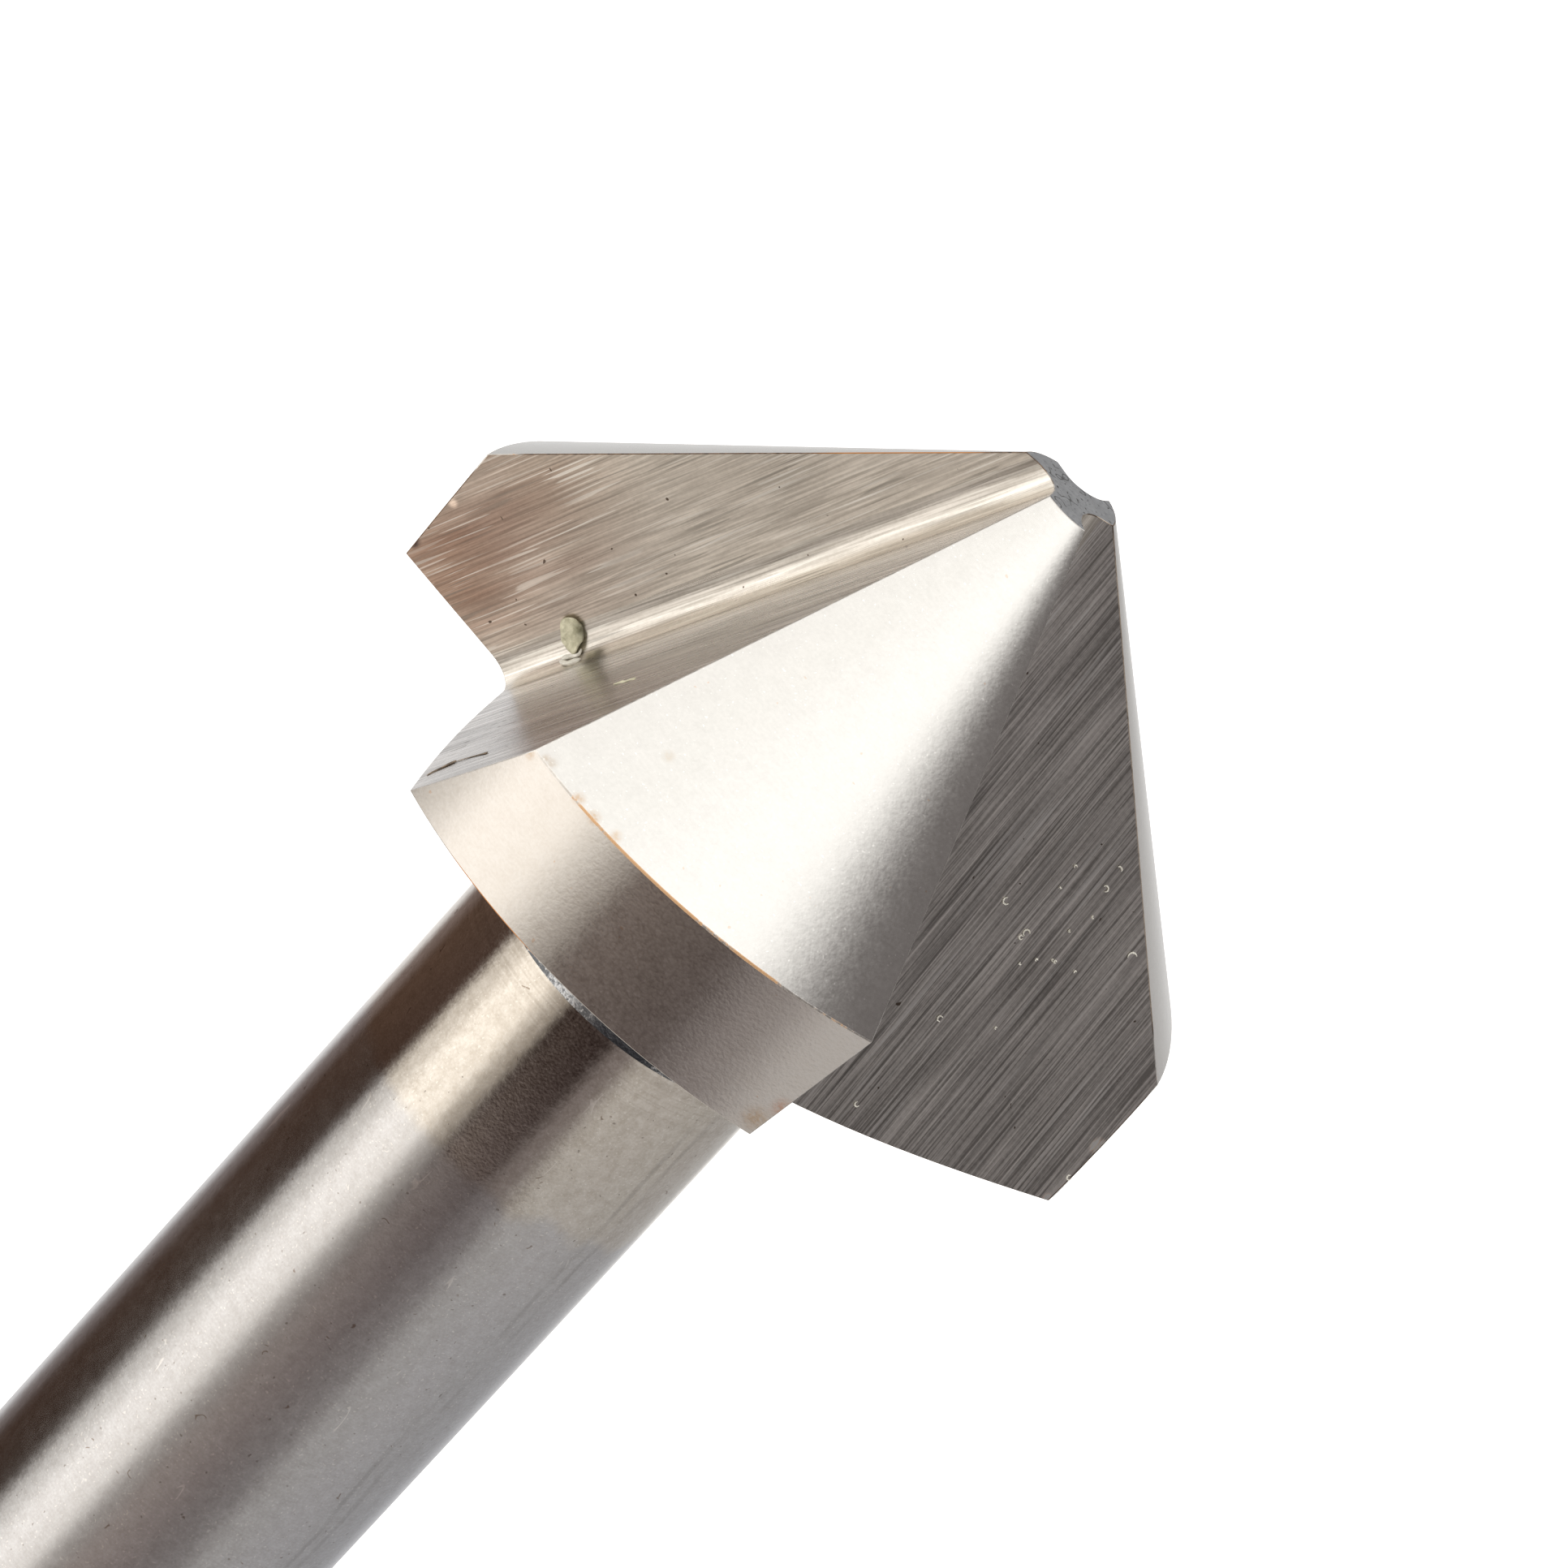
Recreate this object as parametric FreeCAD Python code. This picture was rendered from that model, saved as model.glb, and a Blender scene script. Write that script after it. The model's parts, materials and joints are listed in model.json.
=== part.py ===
import FreeCAD, Part
import math
import os
from FreeCAD import Vector

# Countersink bit with three flutes and a round shank, ground from one bar of tool steel.
# Millimetres and degrees. The axis is Z, the shank's end face lies on z = 0, the tip points up.
# The first flute slants outward along +X. Seen from the tip, the bit cuts turning anticlockwise.

# Overall
overall_length = 67.0

# Head
head_d = 25.0
point_angle = 90.0
tip_flat_d = 3.4
margin_length = 4.14
back_face_slope = 12.5

# Shank
shank_d = 10.0
shank_chamfer = 0.8
neck_fillet_r = 2.6

# Flutes: straight V grooves with a rounded root, slanting outward from the tip.
# Each wall's angle is that of its trace on a level plane, from the way the flute slants.
flute_count = 3
flute_slant = 25.9
flute_root_r = 0.8
root_offset_at_tip = 0.44
rake_wall_angle = 22.2
back_wall_angle = 104.1

# Relief: each land's cone is ground about an axis of its own, shifted square to the land's middle
relief_shift = 0.38

# How far cutting shapes reach past the material that they cut
overrun = 3.0

head_r = head_d / 2
tip_flat_r = tip_flat_d / 2
shank_r = shank_d / 2
half_point = math.radians(point_angle / 2)
slope = math.radians(back_face_slope)
slant = math.radians(flute_slant)
flute_pitch = 360.0 / flute_count
tip_z = overall_length
margin_top_z = tip_z - (head_r - tip_flat_r) / math.tan(half_point)
margin_bottom_z = margin_top_z - margin_length


def polar(radius, angle, z=0.0):
    """Point at a radius and an angle in degrees about the axis."""
    turn = math.radians(angle)
    return Vector(radius * math.cos(turn), radius * math.sin(turn), z)


def profile_point(radius, z):
    """Point of the turned outline."""
    return Vector(radius, 0, z)


def chain(points):
    """Straight edges from each point to the next."""
    return [Part.makeLine(start, end) for start, end in zip(points, points[1:])]


def neck_fillet():
    """Arc between the shank and the sloping back of the head."""
    corner_z = margin_bottom_z - (head_r - shank_r) * math.tan(slope)
    tangent = neck_fillet_r * math.tan((math.pi / 2 - slope) / 2)
    centre = profile_point(shank_r + neck_fillet_r, corner_z - tangent)
    turns = [math.pi, math.radians(135) + slope / 2, math.pi / 2 + slope]
    points = [centre + neck_fillet_r * profile_point(math.cos(turn), math.sin(turn)) for turn in turns]
    return Part.Arc(*points).toShape()


def turned_blank():
    """Shank and head as one turned body, the head still a plain cylinder up to the tip."""
    fillet = neck_fillet()
    shank_side = [
        profile_point(0, 0),
        profile_point(shank_r - shank_chamfer, 0),
        profile_point(shank_r, shank_chamfer),
        fillet.Vertexes[0].Point,
    ]
    head_side = [
        fillet.Vertexes[-1].Point,
        profile_point(head_r, margin_bottom_z),
        profile_point(head_r, tip_z),
        profile_point(0, tip_z),
        profile_point(0, 0),
    ]
    outline = Part.Wire(chain(shank_side) + [fillet] + chain(head_side))
    return Part.Face(outline).revolve(Vector(0, 0, 0), Vector(0, 0, 1), 360)


def root_radius_at(z):
    """Distance from the axis to the sharp root line of a flute."""
    return root_offset_at_tip + (tip_z - z) * math.tan(slant)


def corner_angle(wall_angle, z):
    """Angle about the axis, from the flute's heading, at which a flute wall meets the head's cylinder."""
    root = root_radius_at(z)
    wall = math.radians(wall_angle)
    run = math.sqrt(head_r ** 2 - (root * math.sin(wall)) ** 2) - root * math.cos(wall)
    return math.degrees(math.atan2(run * math.sin(wall), root + run * math.cos(wall)))


def sector(middle_angle, bottom_z):
    """Prism of one flute pitch about the axis, from a height to above the tip."""
    reach = 2 * head_r
    sides = [middle_angle - flute_pitch / 2, middle_angle, middle_angle + flute_pitch / 2]
    corners = [Vector(0, 0, bottom_z)] + [polar(reach, side, bottom_z) for side in sides]
    face = Part.Face(Part.makePolygon(corners + corners[:1]))
    return face.extrude(Vector(0, 0, tip_z + overrun - bottom_z))


def relief_cutter(heading):
    """What grinding takes off one land's cone: its sector, outside a cone about the shifted axis."""
    cutting_corner = heading + corner_angle(rake_wall_angle, margin_top_z)
    heel_corner = heading + corner_angle(back_wall_angle, margin_top_z) - flute_pitch
    land_middle = (cutting_corner + heel_corner) / 2
    shift = polar(relief_shift, land_middle + 90)
    corner_r = (polar(head_r, cutting_corner) - shift).Length
    bottom_z = margin_top_z - overrun
    height = overrun + corner_r / math.tan(half_point)
    cone = Part.makeCone(height * math.tan(half_point), 0, height)
    cone.rotate(Vector(0, 0, 0), Vector(0, 0, 1), land_middle + 180)
    cone.translate(shift + Vector(0, 0, bottom_z))
    return sector(land_middle, bottom_z).cut(cone)


def joins(edge, start, end):
    """True for the edge that runs between two points."""
    ends = [vertex.Point for vertex in edge.Vertexes]
    return all(any(end_point.isEqual(point, 0.001) for end_point in ends) for point in (start, end))


def flute_cutter(heading):
    """V groove with a rounded root, from above the tip to behind the head."""
    top_z = tip_z + overrun / 4
    drop = top_z - margin_bottom_z + overrun
    root = polar(root_radius_at(top_z), heading, top_z)
    slide = polar(drop * math.tan(slant), heading, -drop)
    rake_end = root + polar(3 * head_r, heading + rake_wall_angle)
    back_end = root + polar(3 * head_r, heading + back_wall_angle)
    groove = Part.Face(Part.makePolygon([root, rake_end, back_end, root])).extrude(slide)
    root_edge = [edge for edge in groove.Edges if joins(edge, root, root + slide)]
    return groove.makeFillet(flute_root_r, root_edge)


def countersink_bit():
    """The whole tool: turned blank, relieved lands, then the flutes."""
    headings = [flute_pitch * index for index in range(flute_count)]
    body = turned_blank()
    for heading in headings:
        body = body.cut(relief_cutter(heading))
    for heading in headings:
        body = body.cut(flute_cutter(heading))
    return body.removeSplitter()


def export(name, shape):
    """Write one sub-part as a solid to its own file."""
    os.makedirs("parts", exist_ok=True)
    shape.Solids[0].exportStep(os.path.join("parts", name + ".step"))


export("countersink_bit", countersink_bit())
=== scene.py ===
import json
import math

import bmesh
import bpy
from mathutils import Matrix, Vector


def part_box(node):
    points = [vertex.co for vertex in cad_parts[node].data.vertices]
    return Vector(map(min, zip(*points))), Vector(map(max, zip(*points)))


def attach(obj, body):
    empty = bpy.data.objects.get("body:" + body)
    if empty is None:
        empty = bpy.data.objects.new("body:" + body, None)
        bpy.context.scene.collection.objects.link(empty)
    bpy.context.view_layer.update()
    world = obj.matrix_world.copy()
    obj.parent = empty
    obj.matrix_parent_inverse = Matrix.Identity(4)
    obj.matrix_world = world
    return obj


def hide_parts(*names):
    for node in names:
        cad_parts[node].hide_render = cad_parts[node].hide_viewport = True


# Countersink bit: the finish of its turned, milled and ground faces, lit and seen as in the photo.
# The form is worked out in millimetres in the part's own frame and becomes metres in the mesh.

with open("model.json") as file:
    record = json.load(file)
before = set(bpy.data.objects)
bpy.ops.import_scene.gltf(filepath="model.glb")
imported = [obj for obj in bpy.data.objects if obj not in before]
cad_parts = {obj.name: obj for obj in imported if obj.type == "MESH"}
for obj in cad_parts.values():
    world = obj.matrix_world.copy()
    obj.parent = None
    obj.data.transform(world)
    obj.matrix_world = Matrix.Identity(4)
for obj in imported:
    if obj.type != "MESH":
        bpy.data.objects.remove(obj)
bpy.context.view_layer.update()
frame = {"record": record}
MM = 0.001
NODE = "countersink_bit"
ORIGIN = Vector((0, 0))

# Sizes that the frame gives
_, node_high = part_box(NODE)
tip_z = round(node_high.z / MM, 2)
head_r = round(node_high.x / MM, 2)
shank_mount = next(mount for mount in frame["record"]["mounts"] if mount["name"] == "shank")
shank_r = shank_mount["dims"]["r_mm"]

# Sizes of the head, the neck and the shank's end
tip_flat_r = 1.7
margin_length = 4.14
back_face_slope = math.radians(12.5)
neck_fillet_r = 2.6
ground_top_z = 42.4
shank_chamfer = 0.8
relief_shift = 0.38
margin_top_z = tip_z - (head_r - tip_flat_r)
margin_bottom_z = margin_top_z - margin_length

# Flutes
flute_count = 3
flute_pitch = 2 * math.pi / flute_count
flute_slant = math.radians(25.9)
flute_root_r = 0.8
root_offset_at_tip = 0.44
rake_wall_angle = math.radians(22.2)
back_wall_angle = math.radians(104.1)

# Fineness of the mesh: columns of each stretch round a third of the head, and rows of each zone
land_columns = 28
rake_columns = 4
root_columns = 10
back_columns = 14
root_start = land_columns + rake_columns
back_start = root_start + root_columns
third_columns = back_start + back_columns
margin_rows = 8
cone_rows = 30
back_face_rows = 8
fillet_rows = 10
neck_rows = 8
shank_rows = 30
settle_rounds = 30

# Edges: full width of their rounding, and the angle from which two faces have one
edge_width = 0.05
sharp_angle = math.radians(20)

# Tool marks: length that each third takes up, and the step across the root
mark_stretch = 60
root_mark_step = 0.14

# Middle of the first land and of the first flute
land_middle = math.radians(-19)
flute_middle = math.radians(45)

# Marks of use, each at a point: how far it reaches, what it does to the colour and how strongly; a
# factor above 1 paints a glint on a chip
RAKE_SPOTS = [
    ((10.7, 1.8, 54.2), 6.0, (0.57, 0.47, 0.44), 1.15),
    ((11.4, 1.4, 52.3), 3.4, (0.76, 0.64, 0.58), 1.4),
    ((10.6, 2.2, 56.8), 2.9, (0.76, 0.7, 0.66), 1.0),
    # A chip, painted bright as its glint
    ((12.17, 2.27, 54.28), 0.2, (2.2, 2.2, 2.2), 2.0),
    ((12.4, 2.0, 52.5), 0.3, (0.2, 0.2, 0.25), 1.8),
]
BACK_SPOTS = [
    ((5.2, 9.9, 52.3), 0.7, (0.5, 0.42, 0.36), 0.9),
    # Two small marks near the heel edge, painted bright as glints
    ((-12.17, -2.55, 53.81), 0.32, (2.6, 2.3, 2.1), 2.0),
    ((-12.34, -1.58, 52.09), 0.2, (1.9, 1.5, 1.4), 2.0),
]
RIM_SPOTS = [
    ((0.98, 12.46, 56.02), 0.3, (0.82, 0.66, 0.52), 1.1),
    ((0.33, 12.5, 56.0), 0.3, (0.82, 0.64, 0.48), 1.1),
    ((-0.44, 12.49, 56.15), 0.3, (0.8, 0.6, 0.42), 1.2),
    ((2.22, 12.3, 56.08), 0.28, (0.66, 0.54, 0.42), 1.2),
    ((2.44, 12.26, 56.02), 0.22, (0.7, 0.58, 0.46), 1.1),
    ((0.47, 10.66, 57.95), 0.3, (0.84, 0.74, 0.62), 1.0),
    ((-7.65, 9.88, 52.55), 0.55, (0.84, 0.7, 0.56), 0.9),
    ((-7.95, 9.65, 53.2), 0.45, (0.9, 0.66, 0.56), 1.0),
    ((2.81, 12.18, 55.65), 0.22, (0.82, 0.7, 0.58), 1.0),
    ((5.9, 11.0, 52.2), 0.6, (0.9, 0.78, 0.66), 0.9),
]
# Dashes pressed into the back wall: their middle and how far they reach
BACK_DASHES = ((5.5, 6.8, 53.0), 3.2)


def radians(*degrees):
    return [math.radians(angle) for angle in degrees]


# Stretches of the head, as angles where each starts, is full, still is full and ends
RIM_WEAR = radians(82, 88, 113, 124)
TIP_WEAR = radians(4, 10, 30, 40)
REAR_WEAR = radians(76, 81, 91, 96)
CLEAN_EDGES = radians(50, 56, 136, 142)
TAN_HEEL = radians(-168, -164, -157, -154)
# On the fillet: a stretch painted light as a reflection, and one painted dark as shade
FILLET_PAINTED_LIGHT = radians(82, 89, 94, 101)
FILLET_PAINTED_SHADE = radians(102, 109, 124, 134)
# Lines along the neck: where they lie and half their width, as angles
dark_line_angles = radians(157.5, 163.5)
dark_line_width = 0.03

# Zones of the surface, each with a finish of its own
ZONES = ["cone", "margin", "rake", "root", "back", "tip", "rear", "neck", "shank", "end", "edge"]


def turn(angle):
    """Unit vector at an angle about the axis."""
    return Vector((math.cos(angle), math.sin(angle)))


def lerp(start, end, share):
    return start + (end - start) * share


def raised(point, z):
    return Vector((point.x, point.y, z))


def polar_angle(point):
    return math.atan2(point.y, point.x)


def spin(thirds):
    """Turn by thirds of a circle about the axis."""
    return Matrix.Rotation(flute_pitch * thirds, 3, "Z")


def settle(rule, z):
    """Repeat a rule for a height until it gives its own height back."""
    for _ in range(settle_rounds):
        z = rule(z)
    return z


# Section of a flute: one level cut, which only moves outward from the tip down

RUN = Vector((math.tan(flute_slant), 0, -1)).normalized()
RAKE_WALL = turn(rake_wall_angle)
BACK_WALL = turn(back_wall_angle)


def wall_normal(wall, other):
    """Normal of a wall, which points into the flute, to the other wall's side."""
    normal = RUN.cross(wall.to_3d()).normalized()
    return normal if normal.dot(other.to_3d()) > 0 else -normal


RAKE_NORMAL = wall_normal(RAKE_WALL, BACK_WALL)
BACK_NORMAL = wall_normal(BACK_WALL, RAKE_WALL)


def root_centre():
    """Centre of the rounded root, square across from where the walls would meet at the tip."""
    half = RAKE_NORMAL.angle(BACK_NORMAL) / 2
    middle = (RAKE_NORMAL + BACK_NORMAL).normalized()
    return Vector((root_offset_at_tip, 0, 0)) + middle * (flute_root_r / math.cos(half))


ROOT_CENTRE = root_centre()


def groove_section():
    """Level cut of the rounded root at the tip, from the rake wall round to the back wall."""
    points = []
    for column in range(root_columns + 1):
        point = ROOT_CENTRE - RAKE_NORMAL.slerp(BACK_NORMAL, column / root_columns) * flute_root_r
        point -= RUN * (point.z / RUN.z)
        points.append(point.xy)
    return points


ROOT_CURVE = groove_section()


def outward(z):
    """How far the flute's section has moved out at this height."""
    return Vector(((tip_z - z) * math.tan(flute_slant), 0))


def meet_circle(start, heading, centre, radius):
    """Where a line from start meets a circle from inside."""
    offset = start - centre
    along = offset.dot(heading)
    return start + heading * (-along + math.sqrt(along ** 2 - offset.length_squared + radius ** 2))


# The land between two flutes, in the frame of the flute that its cutting edge faces

HEEL_TURN = Matrix.Rotation(-flute_pitch, 2)


def outer_point(start, heading, z, on_cone):
    """Where a level line from start meets the land's cone, or the cylinder of its margin."""
    if on_cone:
        return meet_circle(start, heading, CONE_AXIS, CONE_APEX_Z - z)
    return meet_circle(start, heading, ORIGIN, head_r)


def relief_cone():
    """Axis and apex height of the land's cone, which falls away behind the cutting edge."""
    cut = outer_point(ROOT_CURVE[0] + outward(margin_top_z), RAKE_WALL, margin_top_z, False)
    heel = outer_point(ROOT_CURVE[-1] + outward(margin_top_z), BACK_WALL, margin_top_z, False)
    middle = (polar_angle(cut) + polar_angle(heel) - flute_pitch) / 2
    axis = turn(middle + math.pi / 2) * relief_shift
    return axis, margin_top_z + (cut - axis).length


CONE_AXIS, CONE_APEX_Z = relief_cone()


def cut_corner(z, on_cone):
    return outer_point(ROOT_CURVE[0] + outward(z), RAKE_WALL, z, on_cone)


def heel_corner(z, on_cone):
    """The heel lies on the flute before this land's own, one pitch back."""
    start = HEEL_TURN @ (ROOT_CURVE[-1] + outward(z))
    return outer_point(start, HEEL_TURN @ BACK_WALL, z, on_cone)


def junction_height(point):
    """Height at which the land's cone meets the margin below a point."""
    return CONE_APEX_Z - (point.normalized() * head_r - CONE_AXIS).length


def back_face_height(radius):
    return margin_bottom_z - (head_r - radius) * math.tan(back_face_slope)


# Columns of the head: each one places a point at a height, and has a margin between two heights


def land_point(share, z, on_cone):
    angle = lerp(polar_angle(heel_corner(z, on_cone)), polar_angle(cut_corner(z, on_cone)), share)
    return outer_point(ORIGIN, turn(angle), z, on_cone)


def rake_point(share, z, on_cone):
    return lerp(cut_corner(z, on_cone), ROOT_CURVE[0] + outward(z), share)


def root_point(share, z, _):
    return ROOT_CURVE[round(share * root_columns)] + outward(z)


def back_point(share, z, on_cone):
    next_heel = HEEL_TURN.inverted() @ heel_corner(z, on_cone)
    return lerp(ROOT_CURVE[-1] + outward(z), next_heel, share)


HEEL_JUNCTION_Z = settle(lambda z: junction_height(heel_corner(z, False)), margin_top_z)


def land_junction(share):
    return settle(lambda z: junction_height(land_point(share, z, False)), margin_top_z)


# Stretches of a third: zone, number of columns, where a point lies and where the margin ends
STRETCHES = [
    ("land", land_columns, land_point, land_junction),
    ("rake", rake_columns, rake_point, lambda share: margin_top_z),
    ("root", root_columns, root_point, lambda share: lerp(margin_top_z, HEEL_JUNCTION_Z, share)),
    ("back", back_columns, back_point, lambda share: HEEL_JUNCTION_Z),
]


def make_column(zone, share, place, junction):
    bottom_z = settle(lambda z: back_face_height(place(share, z, False).length), margin_bottom_z)
    return zone, share, place, bottom_z, junction(share)


def third_of_head():
    """Columns from one heel round to the next, which belongs to the next third."""
    columns = []
    for zone, count, place, junction in STRETCHES:
        columns += [make_column(zone, index / count, place, junction) for index in range(count)]
    return columns


COLUMNS = third_of_head()


def head_ring(part, share):
    """One third of a ring round the head, in its own frame."""
    on_cone = part == "cone"
    points = []
    for _, round_share, place, bottom_z, junction_z in COLUMNS:
        low, high = (junction_z, tip_z) if on_cone else (bottom_z, junction_z)
        z = lerp(low, high, share)
        points.append(raised(place(round_share, z, on_cone), z))
    return points


# Rings behind the head, whose columns slide round until they are evenly spaced

fillet_sweep = math.pi / 2 - back_face_slope
fillet_centre_r = shank_r + neck_fillet_r
fillet_bottom_z = back_face_height(shank_r) - neck_fillet_r * math.tan(fillet_sweep / 2)
fillet_top_r = fillet_centre_r - neck_fillet_r * math.sin(back_face_slope)
slide_bend = 0.8
heel_slide, cut_slide, root_slide, wall_slide = radians(-52, -16, -10, 8)
SLIDES = [
    (0, heel_slide),
    (land_columns, cut_slide),
    (root_start, root_slide),
    (back_start, wall_slide),
    (third_columns, heel_slide + flute_pitch),
]


def slid_angle(index):
    """Angle of a column where the back face meets the neck's fillet."""
    for (start, start_angle), (end, end_angle) in zip(SLIDES, SLIDES[1:]):
        if index <= end:
            return lerp(start_angle, end_angle, (index - start) / (end - start))


def even_angle(index):
    return heel_slide + flute_pitch * index / third_columns


def back_face_ring(share):
    points = []
    for index, edge_point in enumerate(head_ring("margin", 0)):
        radius = lerp(edge_point.xy.length, fillet_top_r, share)
        angle = lerp(polar_angle(edge_point), slid_angle(index), share ** slide_bend)
        points.append(raised(turn(angle) * radius, back_face_height(radius)))
    return points


def round_ring(radius, z, evenness):
    points = []
    for index in range(third_columns):
        angle = lerp(slid_angle(index), even_angle(index), evenness)
        points.append(raised(turn(angle) * radius, z))
    return points


def fillet_ring(share):
    angle = fillet_sweep * (1 - share)
    radius = fillet_centre_r - neck_fillet_r * math.cos(angle)
    return round_ring(radius, fillet_bottom_z + neck_fillet_r * math.sin(angle), 0)


def steps(count):
    return [index / count for index in range(1, count + 1)]


def all_rings():
    """Every ring from the shank's end to the tip, with the zone of the band below it."""
    rings = [("end", round_ring(shank_r - shank_chamfer, 0, 1))]
    rings.append(("end", round_ring(shank_r, shank_chamfer, 1)))
    for share in steps(shank_rows):
        rings.append(("shank", round_ring(shank_r, lerp(shank_chamfer, ground_top_z, share), 1)))
    for share in steps(neck_rows):
        z = lerp(ground_top_z, fillet_bottom_z, share)
        rings.append(("neck", round_ring(shank_r, z, 1 - share)))
    for share in steps(fillet_rows):
        rings.append(("rear", fillet_ring(1 - share)))
    for share in steps(back_face_rows):
        rings.append(("rear", back_face_ring(1 - share)))
    for share in steps(margin_rows):
        rings.append(("margin", head_ring("margin", share)))
    for share in steps(cone_rows):
        rings.append(("cone", head_ring("cone", share)))
    return rings


# Mesh of the whole bit


def finished_mesh(bm, name):
    mesh = bpy.data.meshes.new(name)
    bm.to_mesh(mesh)
    bm.free()
    return mesh


def add_object(name, data):
    piece = bpy.data.objects.new(name, data)
    bpy.context.scene.collection.objects.link(piece)
    return piece


ACROSS_RAKE = (RAKE_WALL.to_3d() - RUN * RAKE_WALL.to_3d().dot(RUN)).normalized()
ACROSS_BACK = (BACK_WALL.to_3d() - RUN * BACK_WALL.to_3d().dot(RUN)).normalized()
ROOT_POINT = Vector((root_offset_at_tip, 0, tip_z))


def mark_place(zone, point, index):
    """Where a point lies along and across the tool marks of its zone, in millimetres."""
    if zone == "rake":
        return point.dot(RUN), (point - ROOT_POINT).dot(ACROSS_RAKE)
    if zone == "root":
        return point.dot(RUN), root_mark_step * (index - root_start)
    if zone == "back":
        return point.dot(RUN), (point - ROOT_POINT).dot(ACROSS_BACK)
    return polar_angle(point) * head_r, point.z


def zone_of(band, index):
    """Zone of a face in a band, by its column in the third."""
    column_zone = COLUMNS[index][0]
    if band in ("cone", "margin") and column_zone != "land":
        return column_zone
    return band


def corner_point(points, index):
    """Point of a third's ring; after the last comes the first, a third of a turn on."""
    if index < third_columns:
        return points[index]
    return spin(1) @ points[0]


def place_marks(face, marks, zone, column, lower, upper):
    """Lay a face's corners along and across its tool marks, which are new in each third."""
    index = column % third_columns
    stretch = Vector((mark_stretch * (column // third_columns), 0))
    corners = [(lower, index), (lower, index + 1), (upper, index + 1), (upper, index)]
    for loop, (points, at) in zip(face.loops, corners):
        loop[marks].uv = Vector(mark_place(zone, corner_point(points, at), at)) + stretch


def add_bands(bm, marks, rings, rows):
    """Faces between each ring and the next."""
    count = third_columns * flute_count
    for level in range(1, len(rows)):
        band, upper = rings[level]
        lower = rings[level - 1][1]
        below, above = rows[level - 1], rows[level]
        for column in range(count):
            after = (column + 1) % count
            face = bm.faces.new([below[column], below[after], above[after], above[column]])
            face.smooth = True
            zone = zone_of(band, column % third_columns)
            face.material_index = ZONES.index(zone)
            place_marks(face, marks, zone, column, lower, upper)


def add_cap(bm, marks, ring, zone):
    face = bm.faces.new(ring)
    face.smooth = True
    face.material_index = ZONES.index(zone)
    for loop in face.loops:
        loop[marks].uv = loop.vert.co.xy / MM


def build_mesh():
    bm = bmesh.new()
    marks = bm.loops.layers.uv.new("marks")
    weight = bm.edges.layers.float.new("bevel_weight_edge")
    rings = all_rings()
    thirds = [spin(third) for third in range(flute_count)]
    rows = []
    for _, points in rings:
        rows.append([bm.verts.new(MM * (third @ point)) for third in thirds for point in points])
    add_bands(bm, marks, rings, rows)
    add_cap(bm, marks, rows[0][::-1], "end")
    add_cap(bm, marks, rows[-1], "tip")
    bm.normal_update()
    for edge in bm.edges:
        edge[weight] = edge_rounding(edge)
    return finished_mesh(bm, "bit_surface")


def edge_rounding(edge):
    """How much of the full width the bevel takes on an edge."""
    if edge.calc_face_angle(0) < sharp_angle:
        return 0
    zones = {ZONES[face.material_index] for face in edge.link_faces}
    if zones == {"end"} or "shank" in zones:
        return 1.0
    middle = polar_angle(edge.verts[0].co + edge.verts[1].co)
    if zones == {"cone", "margin"}:
        return 0.9 if RIM_WEAR[0] < middle < RIM_WEAR[3] else 0.4
    if zones == {"rear", "margin"} and REAR_WEAR[0] < middle < REAR_WEAR[3]:
        return 0.8
    if "rear" in zones:
        return 0.3
    return 0.4 if "tip" in zones else 0.6


def apply_modifiers(piece):
    """Turn the piece's modifiers into its mesh."""
    graph = bpy.context.evaluated_depsgraph_get()
    mesh = bpy.data.meshes.new_from_object(piece.evaluated_get(graph), depsgraph=graph)
    piece.modifiers.clear()
    piece.data = mesh


def third_of(point, middle):
    """Third that a point lies in, for a first land or flute whose middle is at an angle."""
    return round((polar_angle(point) - middle) / flute_pitch)


def true_normal(zone, face, point):
    """Exact normal of the form at a point of a face, in millimetres; a flat face gives its own."""
    away = point.xy.normalized().to_3d()
    up = Vector((0, 0, 1))
    if zone in ("margin", "neck", "shank"):
        return away
    on_chamfer = face.normal.z > -0.9
    if zone == "end" and on_chamfer:
        return (away - up).normalized()
    if zone == "cone":
        axis = Matrix.Rotation(flute_pitch * third_of(face.center, land_middle), 2) @ CONE_AXIS
        return ((point.xy - axis).normalized().to_3d() + up).normalized()
    if zone == "rear" and point.xy.length > fillet_top_r:
        return away * math.sin(back_face_slope) - up * math.cos(back_face_slope)
    if zone == "rear":
        out_part = away * (fillet_centre_r - point.xy.length)
        return (out_part + up * (fillet_bottom_z - point.z)).normalized()
    if zone == "root":
        flute = spin(third_of(face.center, flute_middle))
        offset = flute.inverted() @ point - ROOT_CENTRE - Vector((0, 0, tip_z))
        return flute @ (RUN * offset.dot(RUN) - offset).normalized()
    return face.normal


def shade_exactly(mesh):
    """Give broad faces the form's own normals, and let the fine edges turn between them."""
    beside = [Vector() for _ in mesh.vertices]
    fine = [Vector() for _ in mesh.vertices]
    normals = [None] * len(mesh.loops)
    for face in mesh.polygons:
        zone = ZONES[face.material_index]
        for index in face.loop_indices:
            vertex = mesh.loops[index].vertex_index
            if zone == "edge":
                fine[vertex] += face.normal
                continue
            normals[index] = true_normal(zone, face, mesh.vertices[vertex].co / MM)
            beside[vertex] += normals[index]
    for index, loop in enumerate(mesh.loops):
        if normals[index] is None:
            own = beside[loop.vertex_index]
            normals[index] = (own if own.length > 0 else fine[loop.vertex_index]).normalized()
    mesh.normals_split_custom_set(normals)


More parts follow.
